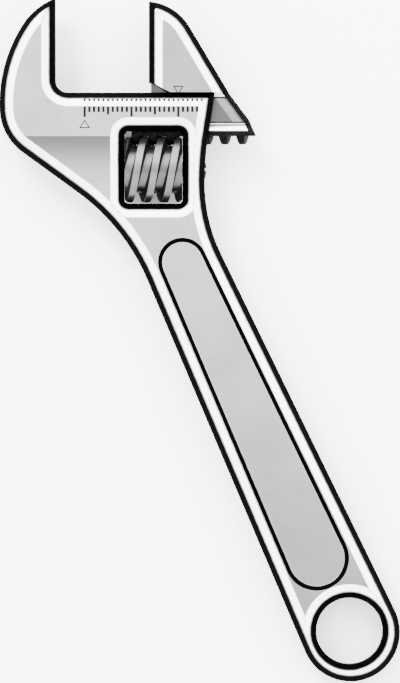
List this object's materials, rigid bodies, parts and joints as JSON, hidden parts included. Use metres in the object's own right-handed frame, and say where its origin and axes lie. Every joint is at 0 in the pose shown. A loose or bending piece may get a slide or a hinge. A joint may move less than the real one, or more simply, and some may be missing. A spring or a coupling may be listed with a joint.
{
  "type": "adjustable wrench",
  "caption": "Adjustable wrench with a fixed jaw, a sliding jaw driven by a worm on a rack, a flat handle with sunk panels and a hanging hole.",
  "frame": {"origin": "middle of the fixed jaw's gripping face, on the plane half way through the thickness", "axes": "+X the way the sliding jaw opens, +Y past the jaw tips, +Z off the flat of the wrench"},
  "size_m": [0.0857, 0.1462, 0.0142],
  "materials": {
    "frame_steel": "satin chrome plate on forged steel, blackened flanks",
    "jaw_steel": "satin chrome plate on forged steel, blackened flanks",
    "worm_steel": "machined steel, oiled",
    "pin_steel": "blackened steel",
    "spring_steel": "spring wire"
  },
  "bodies": {
    "frame": {"wrench_frame": "frame_steel", "worm_pin": "pin_steel", "worm_spring": "spring_steel"},
    "jaw": {"movable_jaw": "jaw_steel"},
    "worm": {"adjusting_worm": "worm_steel"}
  },
  "joints": [
    {"name": "jaw_slide", "type": "slide", "parent": "frame", "child": "jaw", "axis": [1, 0, 0], "range_m": [-0.0199, 0.004]},
    {"name": "worm_spin", "type": "hinge", "parent": "frame", "child": "worm", "pos_m": [0.021, -0.0274, 0], "axis": [1, 0, 0], "range_deg": [-960, 195]}
  ],
  "couplings": [
    {"joint": "worm_spin", "follows": "jaw_slide", "rad_per_m": 837.76}
  ]
}
